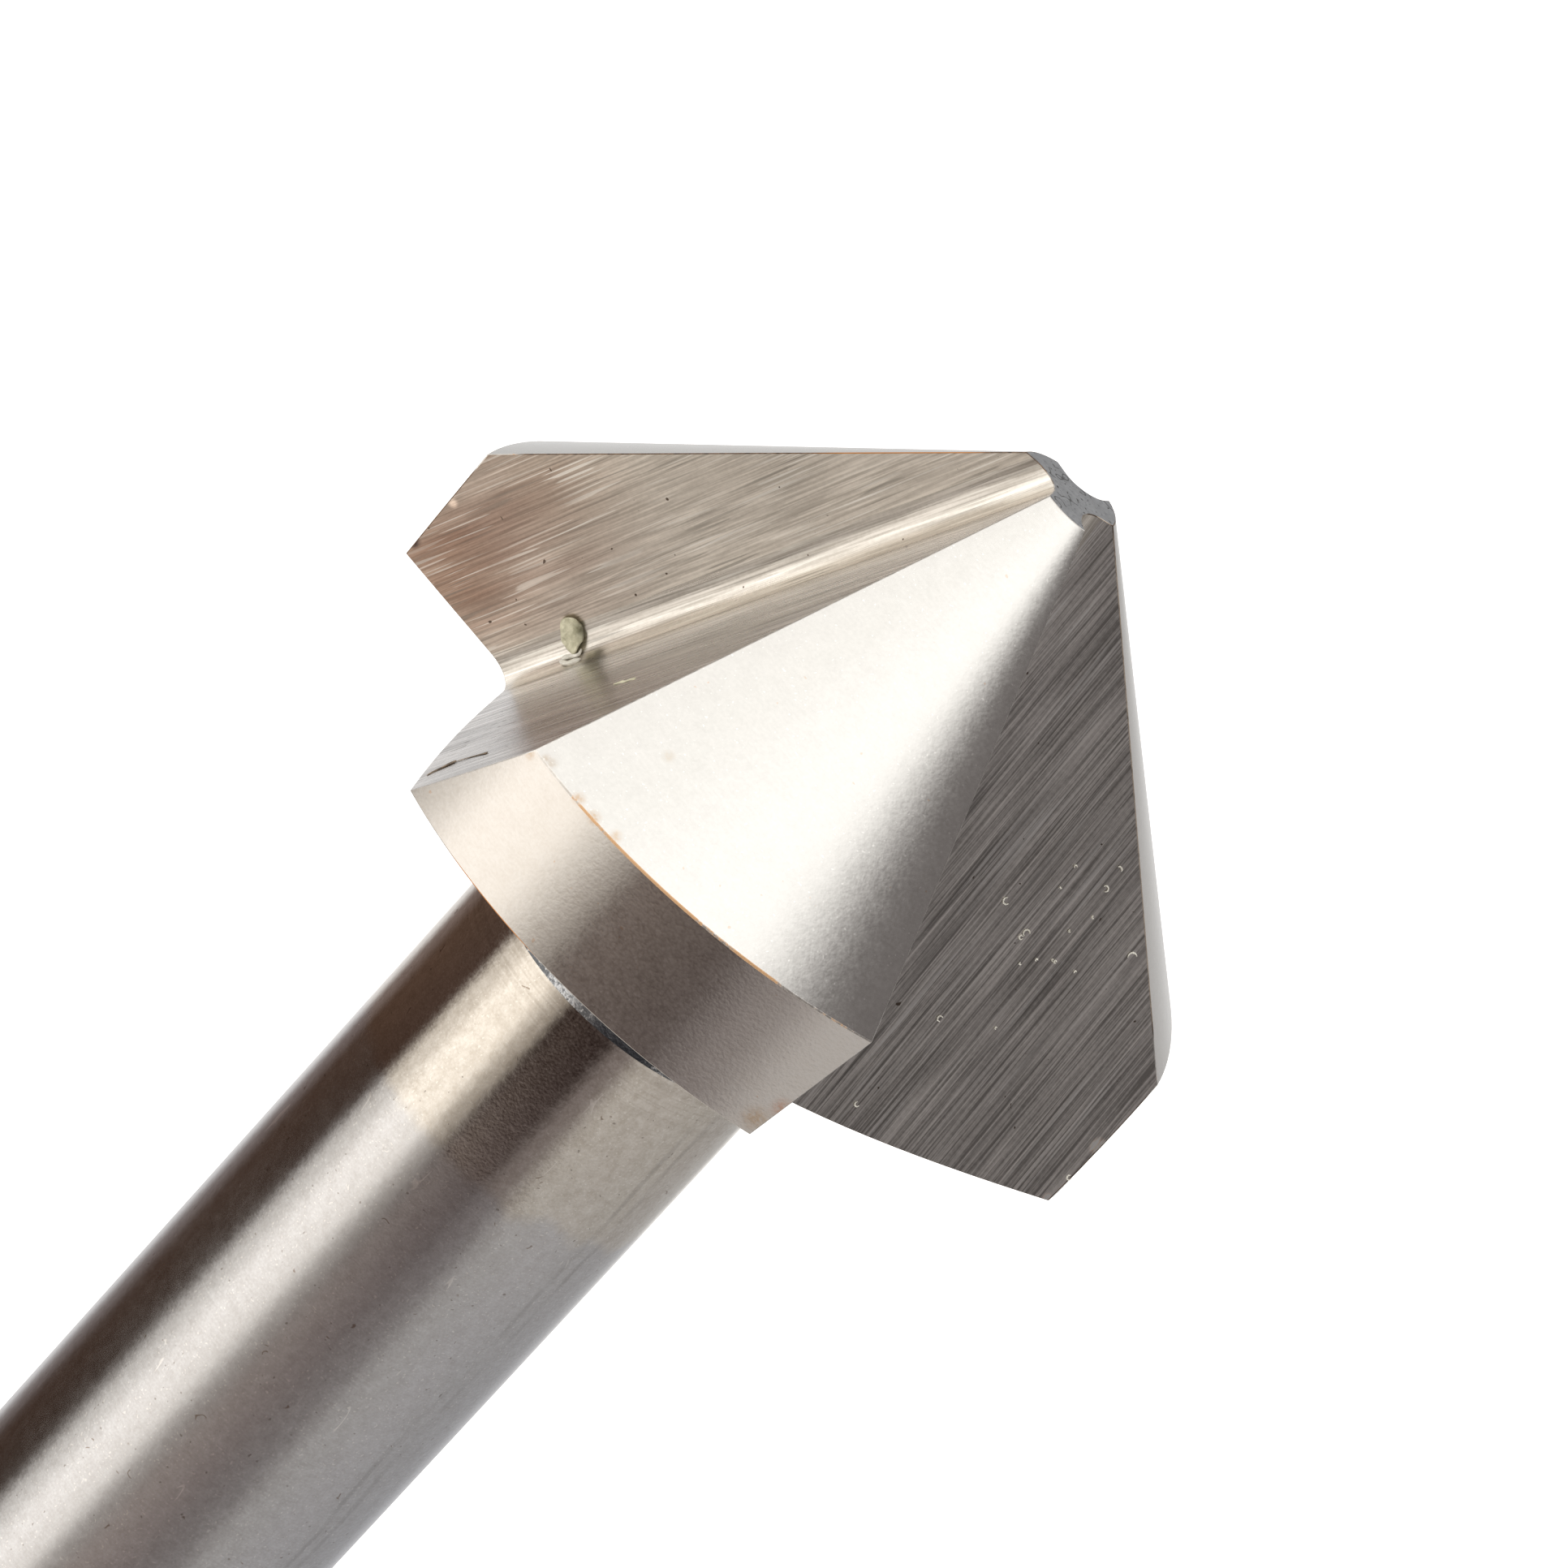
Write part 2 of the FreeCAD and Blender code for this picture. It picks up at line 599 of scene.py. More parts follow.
def add_bit():
    bit = add_object("ground_bit", build_mesh())
    bevel = bit.modifiers.new("edge_rounding", "BEVEL")
    bevel.limit_method = "WEIGHT"
    bevel.width = edge_width * MM
    bevel.segments = 2
    bevel.use_clamp_overlap = False
    bevel.material = ZONES.index("edge")
    finishes = make_finishes()
    for zone in ZONES:
        bit.data.materials.append(finishes[zone])
    apply_modifiers(bit)
    shade_exactly(bit.data)
    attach(bit, "root")
    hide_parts(NODE)


# Swarf in the flutes: each strand's finish, wall, thickness to width, and points with half widths
SWARF = [
    ("olive", RAKE_NORMAL, 0.4, [
        (7.91, 0.58, 53.95, 0.08),
        (7.88, 0.54, 53.82, 0.27),
        (7.77, 0.48, 53.6, 0.35),
        (7.58, 0.46, 53.46, 0.31),
        (7.41, 0.52, 53.35, 0.2),
        (7.24, 0.62, 53.28, 0.06),
    ]),
    ("pale", BACK_NORMAL, 0.8, [
        (7.21, 0.5, 53.47, 0.03),
        (7.14, 0.6, 53.35, 0.07),
        (7.25, 0.57, 53.17, 0.09),
        (7.37, 0.55, 52.98, 0.1),
        (7.34, 0.63, 52.85, 0.08),
        (7.16, 0.74, 53.0, 0.09),
        (7.04, 0.76, 53.21, 0.1),
        (6.97, 0.74, 53.38, 0.03),
    ]),
    ("brown", BACK_NORMAL, 0.4, [
        (5.14, 10.2, 52.08, 0.02),
        (5.12, 10.0, 52.2, 0.07),
        (5.06, 9.88, 52.42, 0.05),
        (5.0, 9.74, 52.62, 0.1),
        (4.97, 9.66, 52.76, 0.02),
    ]),
    ("brown", BACK_NORMAL, 0.3, [
        (4.98, 9.72, 52.66, 0.03),
        (4.82, 9.76, 52.97, 0.03),
        (4.6, 9.86, 53.36, 0.04),
        (4.36, 10.08, 53.76, 0.06),
    ]),
    ("olive", BACK_NORMAL, 0.4, [
        (4.08, 6.5, 56.2, 0.03),
        (3.98, 6.42, 56.36, 0.1),
        (3.86, 6.62, 56.55, 0.05),
        (3.76, 6.58, 56.72, 0.11),
        (3.64, 6.8, 56.88, 0.03),
    ]),
]
# Fine curls on the wall in shade: where, how wide, and the angles in degrees that each runs between
CURLS = [
    ((-6.34, 0.44, 57.91), 0.1, 20, 250),
    ((-7.22, -0.13, 57.47), 0.1, 100, 330),
    ((-7.59, -1.73, 59.37), 0.09, 200, 420),
    ((-9.24, -2.59, 58.25), 0.14, 150, 310),
    ((-7.21, -0.02, 57.32), 0.06, 0, 300),
    ((-7.82, -1.08, 58.05), 0.03, 0, 260),
    ((-6.75, -0.98, 59.47), 0.04, 90, 340),
    ((-8.16, -0.87, 57.22), 0.04, 30, 330),
    ((-7.47, 1.5, 54.63), 0.08, 60, 300),
    ((-7.77, 3.04, 51.84), 0.07, 0, 240),
    ((-7.45, -1.95, 59.93), 0.1, 220, 350),
    ((-12.28, -2.02, 52.8), 0.07, 0, 260),
    ((-7.67, -0.1, 56.76), 0.03, 0, 240),
    ((-7.85, -0.45, 57.03), 0.035, 90, 330),
    ((-8.09, -0.82, 57.22), 0.03, 40, 300),
    ((-8.65, -1.37, 57.24), 0.04, 120, 300),
    ((-6.9, -0.73, 58.86), 0.03, 0, 200),
    ((-7.92, -1.57, 58.62), 0.035, 20, 250),
    ((-8.47, 0.21, 55.1), 0.03, 60, 300),
]
curl_wide = 0.019
# Along a curl: its share of the length, and how much of its full width it has there
CURL_PROFILE = [(0, 0.4), (0.25, 1), (0.5, 1.1), (0.75, 1), (1, 0.4)]
# Finishes of the swarf: finish, dark and light colour, and the colour painted as shade round one
# point under the olive strand
SWARF_FINISHES = [
    ("olive", (0.36, 0.34, 0.22), (0.78, 0.75, 0.57), (0.13, 0.13, 0.08)),
    ("brown", (0.07, 0.05, 0.035), (0.34, 0.25, 0.17), (0.07, 0.05, 0.035)),
    ("pale", (0.55, 0.53, 0.46), (0.92, 0.9, 0.82), (0.5, 0.48, 0.4)),
]
# Middle of the painted shade on the olive strand's underside
swarf_shade_centre = (7.45, 0.45, 54.0)
strand_sides = 16
strand_rows = 24
heading_reach = 0.05
thinnest = 0.012


def along_points(points, share):
    """Place on a smooth line through a few points."""
    at = share * (len(points) - 1)
    index = min(int(at), len(points) - 2)
    t = at - index
    before, start, end = points[max(index - 1, 0)], points[index], points[index + 1]
    after = points[min(index + 2, len(points) - 1)]
    return 0.5 * (
        2 * start
        + (end - before) * t
        + (2 * before - 5 * start + 4 * end - after) * t ** 2
        + (3 * start - before - 3 * end + after) * t ** 3
    )


def add_strand(bm, wall, thick, places):
    """Closed strand: flat and ridged rings along its line, drawn together at both ends."""
    points = [Vector(place) for place in places]
    rings = []
    for row in range(strand_rows + 1):
        share = row / strand_rows
        middle = along_points(points, share)
        width = max(middle.w, thinnest)
        before, after = max(share - heading_reach, 0), min(share + heading_reach, 1)
        ahead = (along_points(points, after) - along_points(points, before)).xyz.normalized()
        side = ahead.cross(wall).normalized()
        out = side.cross(ahead)
        ring = []
        for step in range(strand_sides):
            angle = 2 * math.pi * step / strand_sides
            # Ridges that wind along the strand, and one fold in its upper side
            ridge = 1 + 0.09 * math.sin(5 * angle + 9 * share)
            ridge += 0.06 * math.sin(11 * share + 2 * angle)
            fold = 1 - 0.45 * math.exp(-((angle - 1.2) / 0.5) ** 2)
            across = side * (math.cos(angle) * width * ridge)
            lift = out * (math.sin(angle) * width * thick * ridge * fold)
            ring.append(bm.verts.new(MM * (middle.xyz + across + lift)))
        rings.append(ring)
    for lower, upper in zip(rings, rings[1:]):
        for step in range(strand_sides):
            after = (step + 1) % strand_sides
            bm.faces.new([lower[step], lower[after], upper[after], upper[step]])
    bm.faces.new(rings[0][::-1])
    bm.faces.new(rings[-1])


def curl_strand(centre, radius, start, end):
    """Strand of a fine curl that lies on the second flute's back wall."""
    across, along, wall = (spin(1) @ axis for axis in (ACROSS_BACK, RUN, BACK_NORMAL))
    places = []
    for share, part in CURL_PROFILE:
        angle = math.radians(lerp(start, end, share))
        arm = across * math.cos(angle) + along * math.sin(angle)
        places.append((*(Vector(centre) + arm * radius + wall * curl_wide), curl_wide * part))
    return "pale", wall, 0.8, places


def add_swarf():
    """One object for each finish of the swarf."""
    strands = SWARF + [curl_strand(*curl) for curl in CURLS]
    for finish, dark, light, shade_colour in SWARF_FINISHES:
        bm = bmesh.new()
        for own_finish, *strand in strands:
            if own_finish == finish:
                add_strand(bm, *strand)
        bmesh.ops.recalc_face_normals(bm, faces=bm.faces)
        for face in bm.faces:
            face.smooth = True
        name = f"{finish}_swarf"
        swarf = add_object(name, finished_mesh(bm, name))
        swarf.data.materials.append(swarf_finish(name, dark, light, shade_colour))
        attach(swarf, "root")


class Nodes:
    """Short ways to make and link the nodes of one material or world."""

    def __init__(self, owner):
        owner.use_nodes = True
        self.owner = owner
        self.tree = owner.node_tree
        self.tree.nodes.clear()

    def add(self, kind, values=None, **settings):
        """New shader node, with its input values or links and its settings."""
        node = self.tree.nodes.new("ShaderNode" + kind)
        for name, value in settings.items():
            setattr(node, name, value)
        for key, value in (values or {}).items():
            socket = node.inputs[key]
            if isinstance(value, bpy.types.NodeSocket):
                self.tree.links.new(value, socket)
            else:
                socket.default_value = value
        return node

    def out(self, kind, values=None, **settings):
        """First output of a new node."""
        return self.add(kind, values, **settings).outputs[0]

    def math(self, operation, first, second=0.0):
        return self.out("Math", {0: first, 1: second}, operation=operation)

    def vector(self, operation, first, second):
        return self.out("VectorMath", {0: first, 1: second}, operation=operation)

    def multiplied(self, vector, factor):
        """The vector times one number, or times a number for each axis."""
        if isinstance(factor, tuple):
            return self.vector("MULTIPLY", vector, factor)
        return self.out("VectorMath", {0: vector, 3: factor}, operation="SCALE")

    def axes(self, vector):
        return self.add("SeparateXYZ", {0: vector}).outputs

    def azimuth(self, axes):
        return self.math("ARCTAN2", axes["Y"], axes["X"])

    def apart(self, value, level):
        """How far a value is from a level, to either side."""
        return self.math("ABSOLUTE", self.math("SUBTRACT", value, level))

    def ramp(self, value, low, high):
        """0 at low and 1 at high, smooth between."""
        values = {"Value": value, "From Min": low, "From Max": high}
        return self.out("MapRange", values, interpolation_type="SMOOTHSTEP")

    def noise(self, vector, pitch, detail=2.0, rough=0.5):
        """Noise around 0.5, with a pitch in waves per millimetre: one for all axes or one each."""
        place = self.multiplied(vector, pitch)
        values = {"Vector": place, "Scale": 1.0, "Detail": detail, "Roughness": rough}
        return self.out("TexNoise", values)

    def scale(self, value, low, high):
        """Straight step from 0.3 and 0.7, where most of a noise lies, to two values."""
        values = {"Value": value, "From Min": 0.3, "From Max": 0.7, "To Min": low, "To Max": high}
        return self.out("MapRange", values)

    def chain(self, operation, parts):
        result = parts[0]
        for part in parts[1:]:
            result = self.math(operation, result, part)
        return result

    def sum(self, *parts):
        return self.chain("ADD", parts)

    def times(self, *factors):
        return self.chain("MULTIPLY", factors)

    def scaled_sum(self, *parts):
        """Sum of a few noises, each one scaled to its own two values."""
        return self.sum(*(self.scale(*part) for part in parts))

    def blend(self, share, *colours):
        """Mix of two colours, each of which is a socket or three numbers."""
        values = {0: share}
        for key, colour in zip((6, 7), colours):
            linked = isinstance(colour, bpy.types.NodeSocket)
            values[key] = colour if linked else (*colour, 1)
        return self.add("Mix", values, data_type="RGBA").outputs[2]

    def over(self, colour, mark, strength, mark_colour):
        """The colour with a mark laid over it."""
        return self.blend(self.times(mark, strength), colour, mark_colour)

    def window(self, value, start, full, still_full, end):
        """1 over a stretch of a value, fading to 0 on both sides."""
        return self.times(self.ramp(value, start, full), self.ramp(value, end, still_full))

    def shifted(self, vector, distance):
        """The same coordinates some way off, for a noise of its own."""
        return self.vector("ADD", vector, (distance,) * 3)


def surface(name):
    """Nodes of a new material, and coordinates in millimetres: of the bit and of its tool marks."""
    nodes = Nodes(bpy.data.materials.new(name))
    place = nodes.multiplied(nodes.add("TexCoord").outputs["Object"], 1 / MM)
    marks = nodes.out("UVMap", uv_map="marks")
    return nodes, place, marks


def finish_steel(nodes, colour, roughness, height, depth, normal=None, metal=1.0, rim=1.0):
    """Finished material: a metal shader with a relief of the given depth in millimetres."""
    values = {"Height": height, "Distance": depth * MM, "Strength": 1.0}
    if normal:
        values["Normal"] = normal
    look = {
        "Base Color": colour,
        "Metallic": metal,
        "Roughness": roughness,
        "Normal": nodes.out("Bump", values),
        "Specular Tint": (rim, rim, rim, 1),
    }
    nodes.add("OutputMaterial", {"Surface": nodes.out("BsdfPrincipled", look)})
    return nodes.owner


def swayed_normal(nodes, sway, amount):
    """Normal that each hair of the grinding leans a little to its own side, round the axis."""
    normal = nodes.add("NewGeometry").outputs["Normal"]
    around = nodes.vector("CROSS_PRODUCT", (0, 0, 1), normal)
    lean = nodes.times(nodes.math("SUBTRACT", sway, 0.5), amount)
    return nodes.vector("ADD", normal, nodes.multiplied(around, lean))


def flecks(nodes, place, pitch, level):
    """Sparse small marks: 1 inside them and 0 elsewhere."""
    return nodes.ramp(nodes.noise(place, pitch, 0), level, level + 0.03)


def curls(nodes, place, pitch, width, level):
    """Sparse thin bent lines, such as dried rings: the level line of a noise, seen in patches."""
    line = nodes.apart(nodes.noise(place, pitch, 0), 0.5)
    patch = nodes.noise(nodes.multiplied(nodes.shifted(place, 40), 0.6), pitch, 0)
    return nodes.times(nodes.ramp(line, width, width * 0.4), nodes.ramp(patch, level, level + 0.03))


def patch_at(nodes, place, centre, radius):
    """Soft patch round a point: 1 at its middle and 0 beyond its radius."""
    offset = nodes.vector("SUBTRACT", place, centre)
    distance = nodes.add("VectorMath", {0: offset}, operation="LENGTH").outputs["Value"]
    return nodes.ramp(distance, radius, 0)


def spotted(nodes, place, colour, spots, ragged):
    """The colour with its marks of use and its painted glints, whose rims are ragged."""
    for centre, radius, factors, share in spots:
        reach = nodes.times(patch_at(nodes, place, centre, radius), share)
        colour = nodes.blend(nodes.times(reach, ragged), colour, nodes.multiplied(colour, factors))
    return colour


def ground_finish(name, dark, light, roughness, sway, specks=0.0, spots=(), rim=1.0):
    """Satin grinding: short hairs round the axis, a soft mottle, fine grain and a few specks."""
    nodes, place, _ = surface(name)
    hairs = nodes.noise(place, (2.4, 2.4, 20), 2, 0.6)
    grain = nodes.noise(place, (9, 9, 11), 1)
    mottle = nodes.noise(place, (1.8, 1.8, 2.2), 3)
    tone = nodes.scaled_sum((mottle, 0.2, 0.45), (grain, 0, 0.3), (hairs, 0, 0.15))
    colour = nodes.blend(tone, dark, light)
    bright = nodes.times(flecks(nodes, place, (12, 12, 14), 0.78), specks)
    colour = nodes.blend(bright, colour, [part * 1.4 for part in light])
    tan = flecks(nodes, nodes.shifted(place, 20), (5, 5, 6), 0.86)
    colour = nodes.over(colour, tan, 0.5, (0.6, 0.42, 0.3))
    colour = spotted(nodes, place, colour, spots, nodes.scale(grain, 0.4, 1.3))
    rough = nodes.scaled_sum((mottle, roughness - 0.01, roughness + 0.01), (grain, -0.015, 0.015))
    bites = nodes.noise(place, (4, 4, 5), 2, 0.6)
    normal = swayed_normal(nodes, nodes.sum(nodes.times(hairs, 0.3), nodes.times(bites, 0.7)), sway)
    return finish_steel(nodes, colour, rough, grain, 0.0015, normal, 1.0, rim)


def tip_finish(name):
    """Tip: blue-grey, with small dark pits and scribbles."""
    nodes, place, _ = surface(name)
    grain = nodes.noise(place, 8, 3, 0.6)
    mottle = nodes.noise(place, 2, 2)
    tone = nodes.scaled_sum((grain, 0, 0.5), (mottle, 0, 0.5))
    colour = nodes.blend(tone, (0.36, 0.365, 0.375), (0.52, 0.525, 0.54))
    pits = flecks(nodes, place, 7, 0.74)
    scribbles = curls(nodes, place, 3, 0.05, 0.62)
    marks = nodes.math("MAXIMUM", pits, nodes.times(scribbles, 0.8))
    colour = nodes.blend(marks, colour, (0.07, 0.065, 0.06))
    return finish_steel(nodes, colour, nodes.scale(grain, 0.26, 0.36), grain, 0.006)


def rear_finish(name):
    """Back face and fillet: dark, with coarse bright grains, a stretch painted light as its
    reflection and one painted black as shade.
    """
    nodes, place, _ = surface(name)
    axes = nodes.axes(place)
    grain = nodes.noise(place, 9, 2, 0.6)
    mottle = nodes.noise(place, 1.4, 2)
    angle = nodes.sum(nodes.azimuth(axes), nodes.scale(grain, -0.05, 0.05))
    tone = nodes.scaled_sum((grain, 0, 0.5), (mottle, 0, 0.5))
    colour = nodes.blend(tone, (0.07, 0.076, 0.085), (0.27, 0.28, 0.3))
    bright = nodes.times(nodes.ramp(grain, 0.54, 0.66), 0.8)
    colour = nodes.blend(bright, colour, (0.7, 0.71, 0.73))
    # Painted reflection: the fillet lighter over one stretch of its turn
    fillet_lit_colour = nodes.blend(nodes.ramp(grain, 0.38, 0.58), (0.26, 0.275, 0.3), (0.72, 0.75, 0.79))
    colour = nodes.blend(nodes.window(angle, *FILLET_PAINTED_LIGHT), colour, fillet_lit_colour)
    # Painted shade: the fillet darker over the next stretch
    fillet_shade_colour = nodes.blend(tone, (0.03, 0.033, 0.04), (0.09, 0.095, 0.11))
    colour = nodes.blend(nodes.window(angle, *FILLET_PAINTED_SHADE), colour, fillet_shade_colour)
    return finish_steel(nodes, colour, nodes.scale(grain, 0.28, 0.4), grain, 0.02)


def neck_dark_lines(nodes, angle, place):
    """Two faint dark lines along the neck."""
    wander = nodes.scale(nodes.noise(place, (0.5, 0.5, 0.25), 1), -0.03, 0.03)
    strength = nodes.scale(nodes.noise(place, (1, 1, 0.6), 1), 0, 1)
    lines = []
    for at in dark_line_angles:
        offset = nodes.apart(nodes.sum(angle, wander), at)
        lines.append(nodes.ramp(offset, dark_line_width, dark_line_width * 0.2))
    return nodes.times(nodes.sum(*lines), strength)


def turned_finish(name):
    """Shank: bright turning, a greyer and softer ground length, and a blurred line between."""
    nodes, place, _ = surface(name)
    axes = nodes.axes(place)
    angle = nodes.azimuth(axes)
    hairs = nodes.noise(place, (2, 2, 16), 2, 0.65)
    grain = nodes.noise(place, 12, 1)
    mottle = nodes.noise(place, (0.8, 0.8, 0.6), 3)
    blots = nodes.noise(place, (3.2, 3.2, 2.6), 3, 0.6)
    wander = nodes.scale(mottle, -0.3, 0.3)
    ground = nodes.ramp(nodes.sum(axes["Z"], wander), ground_top_z + 0.3, ground_top_z - 0.3)
    tone = nodes.scaled_sum((blots, 0, 0.4), (grain, 0, 0.35), (hairs, 0, 0.25))
    turned_rings = nodes.ramp(nodes.noise(place, (0.12, 0.12, 9), 1), 0.42, 0.6)
    near_head = nodes.ramp(axes["Z"], fillet_bottom_z - 2.4, fillet_bottom_z - 0.3)
    neck_tone = nodes.scaled_sum((blots, 0, 0.6), (grain, 0, 0.4))
    neck_colour = nodes.blend(neck_tone, (0.52, 0.48, 0.43), (0.72, 0.69, 0.65))
    ring_colour = nodes.multiplied(neck_colour, (0.72, 0.7, 0.68))
    ring_share = nodes.times(turned_rings, near_head, 0.4)
    neck_colour = nodes.blend(ring_share, neck_colour, ring_colour)
    ground_colour = nodes.blend(tone, (0.48, 0.465, 0.46), (0.64, 0.64, 0.65))
    colour = nodes.blend(ground, neck_colour, ground_colour)
    colour = nodes.over(colour, neck_dark_lines(nodes, angle, place), 0.3, (0.2, 0.19, 0.18))
    rings = curls(nodes, place, 3.5, 0.05, 0.8)
    colour = nodes.over(colour, rings, 0.8, (0.25, 0.19, 0.15))
    dark_flecks = flecks(nodes, place, 8, 0.82)
    colour = nodes.over(colour, dark_flecks, 0.7, (0.26, 0.23, 0.21))
    sparkle = flecks(nodes, nodes.shifted(place, 30), 14, 0.74)
    colour = nodes.over(colour, sparkle, 0.4, (0.9, 0.88, 0.84))
    scratches = curls(nodes, nodes.shifted(place, 70), (3, 3, 0.7), 0.03, 0.77)
    colour = nodes.over(colour, scratches, 0.5, (0.9, 0.87, 0.84))
    neck_rough = nodes.scale(grain, 0.05, 0.08)
    smoother = nodes.times(nodes.ramp(axes["Z"], ground_top_z - 9, ground_top_z), -0.06)
    ground_rough = nodes.sum(nodes.scaled_sum((mottle, 0.18, 0.2), (blots, -0.01, 0.01)), smoother)
    rough = nodes.out("Mix", {0: ground, 2: neck_rough, 3: ground_rough})
    bites = nodes.noise(place, 6, 2, 0.6)
    sway = nodes.sum(nodes.times(hairs, 0.2), nodes.times(bites, 0.8))
    lean = nodes.out("Mix", {0: ground, 2: 0.055, 3: 0.05})
    normal = swayed_normal(nodes, sway, lean)
    return finish_steel(nodes, colour, rough, nodes.sum(grain, blots), 0.0005, normal)


def milled_finish(name, dark, light, slant, stretch, roughness, wear_and_sheen, spots=(), dashes=None):
    """Cutter lines along the flute, which drift by a small slant, with scratches and pits."""
    nodes, place, marks = surface(name)
    axes = nodes.axes(marks)
    across = nodes.sum(axes["Y"], nodes.times(axes["X"], slant))
    lay = nodes.out("CombineXYZ", {0: axes["X"], 1: across})
    hairs = nodes.noise(lay, (0.8 / stretch, 19, 1), 1, 0.5)
    lines = nodes.noise(lay, (0.4 / stretch, 9, 5), 3, 0.6)
    bands = nodes.noise(lay, (0.2 / stretch, 1.4, 9), 2, 0.6)
    grain = nodes.noise(place, 8, 2, 0.6)
    tone = nodes.scaled_sum((hairs, -0.2, 0.5), (lines, -0.3, 0.65), (bands, -0.03, 0.21))
    tone = nodes.sum(tone, nodes.scale(grain, -0.1, 0.12))
    colour = nodes.blend(tone, dark, light)
    colour = spotted(nodes, place, colour, spots, nodes.scale(bands, 0.6, 1.0))
    # Painted sheen: across the marks, from where it starts to where it is full, the colour is
    # lightened by the gain towards the root, standing in for the root's reflected highlight
    # spreading onto the wall
    sheen_start, sheen_full, gain = wear_and_sheen
    sheen_share = nodes.ramp(axes["Y"], sheen_start, sheen_full)
    colour = nodes.blend(sheen_share, colour, nodes.multiplied(colour, gain))
    scratches = nodes.noise(lay, (0.5 / stretch, 12, 3), 0)
    clusters = nodes.scale(nodes.noise(lay, (0.35, 0.9, 7), 1), 0, 1)
    deep = nodes.times(nodes.ramp(scratches, 0.36, 0.3), clusters)
    colour = nodes.over(colour, deep, 0.55, [part * 0.4 for part in dark])
    burrs = nodes.times(nodes.ramp(scratches, 0.64, 0.69), clusters)
    colour = nodes.over(colour, burrs, 0.55, [min(part * 1.35, 1) for part in light])
    if dashes:
        pressed = nodes.ramp(nodes.noise(lay, (1.7, 4, 5), 1), 0.62, 0.68)
        pressed = nodes.times(pressed, patch_at(nodes, place, *dashes))
        colour = nodes.blend(pressed, colour, (0.12, 0.1, 0.08))
    colour = nodes.blend(flecks(nodes, place, 6, 0.85), colour, (0.14, 0.11, 0.09))
    rough = nodes.scale(bands, roughness - 0.03, roughness + 0.03)
    relief = nodes.sum(nodes.times(hairs, 0.3), lines)
    return finish_steel(nodes, colour, rough, relief, 0.008)


def edge_finish(name):
    """Fine edges: brown, bare in places, and rubbed to a patchy tan round the margin's front edge.
    """
    nodes, place, _ = surface(name)
    axes = nodes.axes(place)
    angle = nodes.azimuth(axes)
    patches = nodes.noise(place, 0.7, 2, 0.6)
    specks = nodes.noise(place, 6, 2, 0.7)
    tone = nodes.scale(specks, 0, 1)
    steel = nodes.blend(tone, (0.42, 0.4, 0.38), (0.62, 0.59, 0.56))
    bright_steel = nodes.blend(tone, (0.66, 0.64, 0.61), (0.9, 0.88, 0.85))
    brown = nodes.blend(tone, (0.07, 0.045, 0.03), (0.3, 0.2, 0.13))
    clean = nodes.window(angle, *CLEAN_EDGES)
    browned = nodes.ramp(nodes.math("SUBTRACT", patches, nodes.times(clean, 0.4)), 0.34, 0.44)
    colour = nodes.blend(browned, steel, brown)
    at_rim = nodes.ramp(nodes.apart(axes["Z"], margin_top_z), 0.8, 0.5)
    wear_and_sheen = nodes.times(nodes.window(angle, *RIM_WEAR), 0.32)
    patchy = nodes.ramp(nodes.sum(patches, nodes.times(specks, 0.6), wear_and_sheen), 0.92, 1.08)
    rim = nodes.times(at_rim, patchy)
    colour = nodes.blend(at_rim, colour, bright_steel)
    colour = nodes.blend(rim, colour, (0.74, 0.46, 0.25))
    at_rear = nodes.ramp(axes["Z"], margin_bottom_z + 0.8, margin_bottom_z + 0.5)
    at_tip = nodes.window(axes["Z"], tip_z - 4.5, tip_z - 3.5, tip_z - 1.2, tip_z - 0.6)
    rear = nodes.sum(
        nodes.times(at_rear, nodes.window(angle, *REAR_WEAR)),
        nodes.times(at_tip, nodes.window(angle, *TIP_WEAR)),
    )
    colour = nodes.blend(rear, colour, (0.62, 0.27, 0.08))
    above_rim = nodes.ramp(axes["Z"], margin_top_z + 0.6, margin_top_z + 1.4)
    heel = nodes.times(nodes.window(angle, *TAN_HEEL), above_rim, nodes.scale(specks, 0.5, 1.2))
    colour = nodes.blend(heel, colour, (0.8, 0.69, 0.58))
    metal = nodes.math("SUBTRACT", 1.0, nodes.times(rim, 0.6))
    return finish_steel(nodes, colour, nodes.scale(specks, 0.3, 0.45), specks, 0.004, None, metal)


def swarf_finish(name, dark, light, shade_colour):
    """Dried swarf: grains between two colours, and painted shade on its underside."""
    nodes, place, _ = surface(name)
    lumps = nodes.noise(place, 4, 3, 0.6)
    grain = nodes.noise(place, 16, 2)
    colour = nodes.blend(nodes.scale(lumps, 0, 1), dark, light)
    # Painted shade round one point of the strand's underside
    colour = nodes.blend(patch_at(nodes, place, swarf_shade_centre, 0.5), colour, shade_colour)
    relief = nodes.sum(lumps, nodes.times(grain, 0.3))
    return finish_steel(nodes, colour, nodes.scale(grain, 0.45, 0.7), relief, 0.04, None, 0.1)


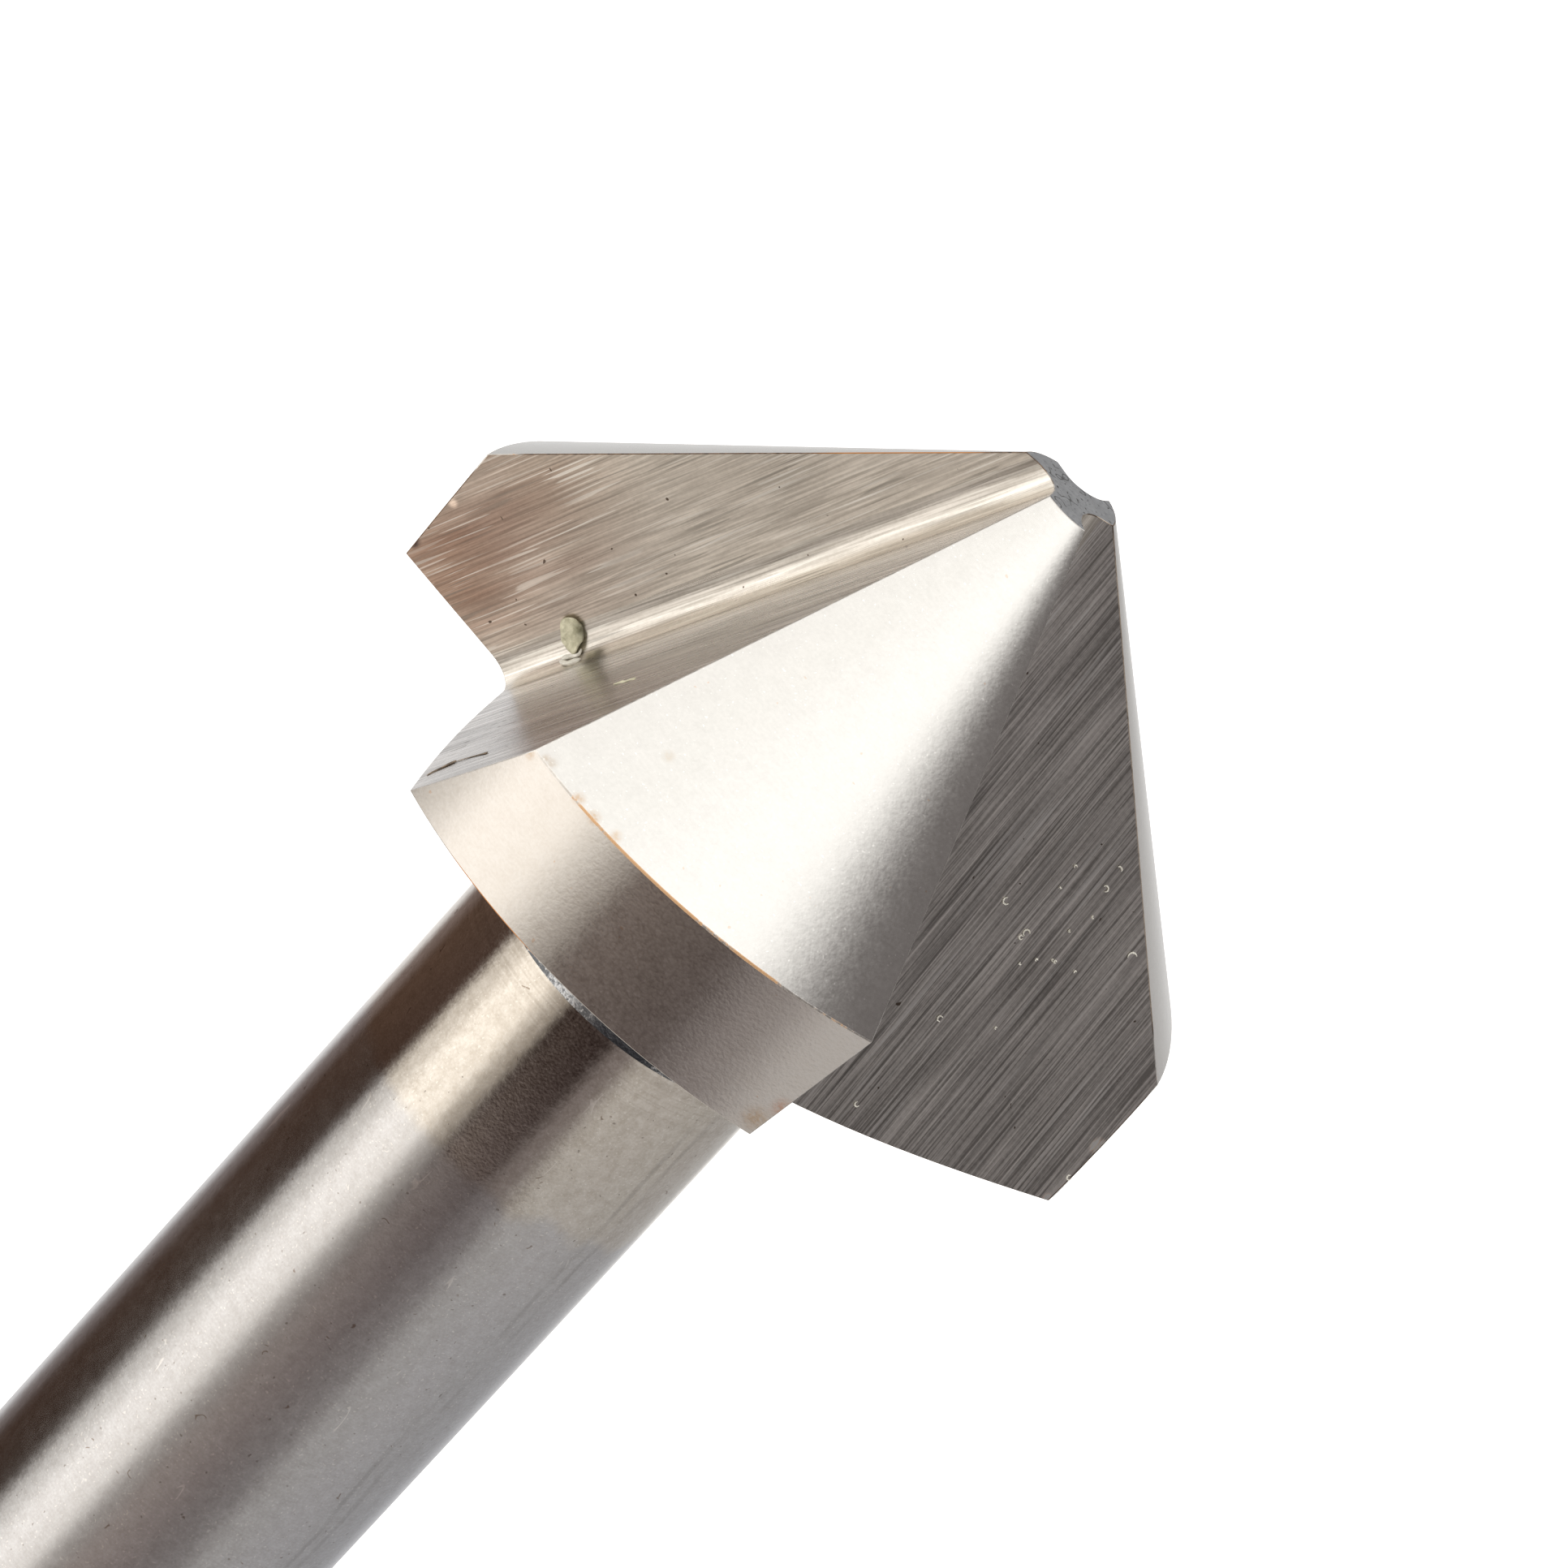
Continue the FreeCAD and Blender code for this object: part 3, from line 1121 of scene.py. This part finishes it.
def make_finishes():
    shank = turned_finish("steel_shank")
    return {
        "cone": ground_finish(
            "steel_cone", (0.56, 0.55, 0.53), (0.66, 0.65, 0.63),
            roughness=0.17, sway=0.06, specks=0.4, spots=RIM_SPOTS, rim=0.85,
        ),
        "margin": ground_finish(
            "steel_margin", (0.57, 0.54, 0.51), (0.69, 0.67, 0.65),
            roughness=0.13, sway=0.025, spots=RIM_SPOTS,
        ),
        # Each wall's painted sheen near the root: across the marks, where it starts and where it is
        # full, and its gain
        "rake": milled_finish(
            "steel_rake", (0.52, 0.483, 0.436), (0.83, 0.785, 0.722),
            slant=0.035, stretch=1.35, roughness=0.36, wear_and_sheen=(0.9, 0, 1.05), spots=RAKE_SPOTS,
        ),
        "root": milled_finish(
            "steel_root", (0.47, 0.44, 0.4), (0.78, 0.745, 0.7),
            slant=0, stretch=1.8, roughness=0.29, wear_and_sheen=(0.3, 1.2, 1.3),
        ),
        "back": milled_finish(
            "steel_back", (0.33, 0.315, 0.305), (0.97, 0.94, 0.92),
            slant=0.075, stretch=2.6, roughness=0.27, wear_and_sheen=(3.5, 0, 1.25),
            spots=BACK_SPOTS, dashes=BACK_DASHES,
        ),
        "tip": tip_finish("steel_tip"),
        "rear": rear_finish("steel_rear"),
        "neck": shank,
        "shank": shank,
        "end": shank,
        "edge": edge_finish("steel_edge"),
    }


# Studio: a world of soft cards and flags round the bit, a pale floor and the camera

# Camera, as fitted to the photo: its turns, and its distance and sideways shifts in millimetres
view_turn = math.radians(164.85)
view_azimuth = -math.pi / 2 - view_turn
view_elevation = math.radians(23.101)
view_roll = math.radians(-42.36)
view_distance = 244.745
view_side = -1.553
view_rise = -2.455
view_target_z = 52.06
focal_pixels = 11063.6
photo_pixels = 1932
floor_reach = 3


def add_camera():
    data = bpy.data.cameras.new("camera")
    data.sensor_width = 36
    data.lens = focal_pixels / photo_pixels * data.sensor_width
    data.clip_start = 0.01
    camera = add_object("camera", data)
    roll = Matrix.Rotation(view_roll, 3, "Z")
    tilt = Matrix.Rotation(view_elevation - math.pi / 2, 3, "X")
    heading = Matrix.Rotation(view_turn, 3, "Z")
    axes = (roll @ tilt @ heading).transposed()
    offset = axes @ Vector((-view_side, -view_rise, view_distance))
    place = (Vector((0, 0, view_target_z)) + offset) * MM
    camera.matrix_world = Matrix.Translation(place) @ axes.to_4x4()
    bpy.context.scene.camera = camera


# Light round the bit, in rings: radiance by azimuth in degrees, from the camera's own and rightward
RADIANCE_SCALE = 3.0
DEEP_RING = [
    (-180, 0.95, 0.94, 0.94), (-164, 0.85, 0.84, 0.84), (-141, 0.24, 0.2, 0.19),
    (-124, 0.06, 0.03, 0.018), (-88, 0.045, 0.024, 0.015), (-72, 1.0, 0.96, 0.9),
    (-54, 1.6, 1.54, 1.46), (-36, 1.36, 1.3, 1.22), (-22, 0.46, 0.428, 0.4),
    (-8, 0.43, 0.365, 0.335), (10, 0.325, 0.27, 0.256), (24, 0.23, 0.2, 0.195),
    (36, 0.225, 0.205, 0.205), (56, 0.47, 0.46, 0.45), (84, 0.5, 0.49, 0.495),
    (110, 0.44, 0.435, 0.44), (142, 0.44, 0.44, 0.45), (160, 0.6, 0.6, 0.62),
    (180, 0.95, 0.94, 0.94),
]
LOW_RING = [
    (-180, 1.15, 1.12, 1.08), (-160, 0.88, 0.85, 0.83), (-141, 0.24, 0.18, 0.16),
    (-124, 0.125, 0.077, 0.056), (-84, 0.105, 0.066, 0.052), (-71, 1.02, 0.94, 0.84),
    (-54, 1.6, 1.5, 1.36), (-40, 1.52, 1.42, 1.28), (-24, 0.58, 0.52, 0.45),
    (-14, 0.03, 0.015, 0.012), (14, 0.03, 0.017, 0.015), (28, 0.28, 0.24, 0.23),
    (46, 0.66, 0.62, 0.575), (70, 0.62, 0.585, 0.55), (100, 0.56, 0.535, 0.505),
    (130, 0.49, 0.47, 0.455), (152, 0.56, 0.55, 0.54), (180, 1.15, 1.12, 1.08),
]
MARGIN_RING = [
    (-180, 0.85, 0.83, 0.82), (-160, 0.7, 0.685, 0.68), (-141, 0.3, 0.25, 0.22),
    (-92, 0.2, 0.17, 0.14), (-74, 0.8, 0.77, 0.72), (-55, 1.62, 1.54, 1.43),
    (-40, 1.58, 1.5, 1.38), (-28, 1.12, 1.06, 0.97), (-21, 0.66, 0.61, 0.55),
    (-15, 0.32, 0.258, 0.224), (4, 0.215, 0.178, 0.156), (12, 0.2, 0.167, 0.151),
    (21, 0.375, 0.336, 0.318), (30, 0.48, 0.44, 0.415), (46, 0.72, 0.68, 0.65),
    (70, 0.66, 0.625, 0.6), (130, 0.47, 0.455, 0.44), (152, 0.5, 0.49, 0.48),
    (180, 0.85, 0.83, 0.82),
]
LEVEL_RING = [
    (-180, 0.95, 0.94, 0.93), (-160, 0.84, 0.83, 0.82), (-130, 0.85, 0.83, 0.8),
    (-100, 1.3, 1.26, 1.2), (-77, 1.8, 1.74, 1.64), (-58, 1.42, 1.36, 1.27),
    (-45, 1.12, 1.06, 0.98), (-30, 0.65, 0.6, 0.54), (-15, 0.38, 0.34, 0.3),
    (30, 0.25, 0.22, 0.2), (100, 0.4, 0.38, 0.36), (150, 0.6, 0.58, 0.57),
    (180, 0.95, 0.94, 0.93),
]
HIGH_RING = [
    (-180, 0.36, 0.36, 0.36), (-120, 0.7, 0.68, 0.65), (-60, 1.2, 1.12, 1.02),
    (-10, 0.3, 0.27, 0.25), (30, 0.196, 0.18, 0.172), (90, 0.218, 0.204, 0.198),
    (140, 0.34, 0.34, 0.34), (180, 0.36, 0.36, 0.36),
]
# Overhead, by how far right of the camera's view a direction leans
OVERHEAD = [
    (-1.0, 0.9, 0.87, 0.83), (-0.72, 1.5, 1.46, 1.41), (-0.4, 1.58, 1.55, 1.49),
    (-0.2, 1.66, 1.63, 1.58), (-0.06, 1.74, 1.71, 1.66), (0.14, 1.74, 1.71, 1.66),
    (0.44, 0.215, 0.195, 0.19), (1.0, 0.18, 0.16, 0.155),
]
NEAR_GROUND = (1.28, 1.18, 1.05)
FAR_GROUND = (0.78, 0.76, 0.72)
# Elevations in degrees where each ring starts and is full
RINGS = [
    (-41, -34, DEEP_RING),
    (-28, -24.8, LOW_RING),
    (-24.6, -23.8, MARGIN_RING),
    (-22, -17, LEVEL_RING),
    (6, 18, HIGH_RING),
]


def dimmed(radiance):
    """Radiance as a share of the world's strength."""
    return [part / RADIANCE_SCALE for part in radiance]


def light_ramp(nodes, value, low, high, stops):
    """Radiance along a value, from stops given in the value's own measure."""
    share = nodes.out("MapRange", {"Value": value, "From Min": low, "From Max": high})
    node = nodes.add("ValToRGB", {0: share})
    elements = node.color_ramp.elements
    node.color_ramp.interpolation = "EASE"
    while len(elements) < len(stops):
        elements.new(0.5)
    for element, (at, *radiance) in zip(elements, stops):
        element.position = (at - low) / (high - low)
        element.color = (*dimmed(radiance), 1)
    return node.outputs[0]


def add_world():
    world = bpy.data.worlds.new("studio")
    bpy.context.scene.world = world
    nodes = Nodes(world)
    direction = nodes.add("TexCoord").outputs["Generated"]
    values = {"Vector": direction, "Angle": -view_azimuth}
    turned = nodes.out("VectorRotate", values, rotation_type="Z_AXIS")
    axes = nodes.axes(turned)
    azimuth = nodes.math("DEGREES", nodes.azimuth(axes))
    elevation = nodes.math("DEGREES", nodes.math("ARCSINE", axes["Z"]))
    light = nodes.blend(nodes.ramp(axes["X"], 0.32, -0.02), dimmed(NEAR_GROUND), dimmed(FAR_GROUND))
    for start, full, ring in RINGS:
        radiance = light_ramp(nodes, azimuth, -180, 180, ring)
        light = nodes.blend(nodes.ramp(elevation, start, full), light, radiance)
    overhead = light_ramp(nodes, axes["Y"], -1, 1, OVERHEAD)
    light = nodes.blend(nodes.ramp(elevation, 34, 50), light, overhead)
    background = nodes.out("Background", {"Color": light, "Strength": RADIANCE_SCALE})
    nodes.add("OutputWorld", {"Surface": background})


def add_floor():
    bm = bmesh.new()
    corners = [(-1, -1), (1, -1), (1, 1), (-1, 1)]
    bm.faces.new([bm.verts.new((x * floor_reach, y * floor_reach, 0)) for x, y in corners])
    floor = add_object("floor", finished_mesh(bm, "floor"))
    material = bpy.data.materials.new("floor_white")
    material.use_nodes = True
    look = {
        "Base Color": (0.9, 0.9, 0.9, 1),
        "Roughness": 1,
        "Specular IOR Level": 0,
        "Emission Color": (1, 1, 1, 1),
        "Emission Strength": 0.6,
    }
    for name, value in look.items():
        material.node_tree.nodes["Principled BSDF"].inputs[name].default_value = value
    floor.data.materials.append(material)
    floor.visible_glossy = False


add_bit()
add_swarf()
add_floor()
add_world()
add_camera()
bpy.context.scene.view_settings.view_transform = "Standard"
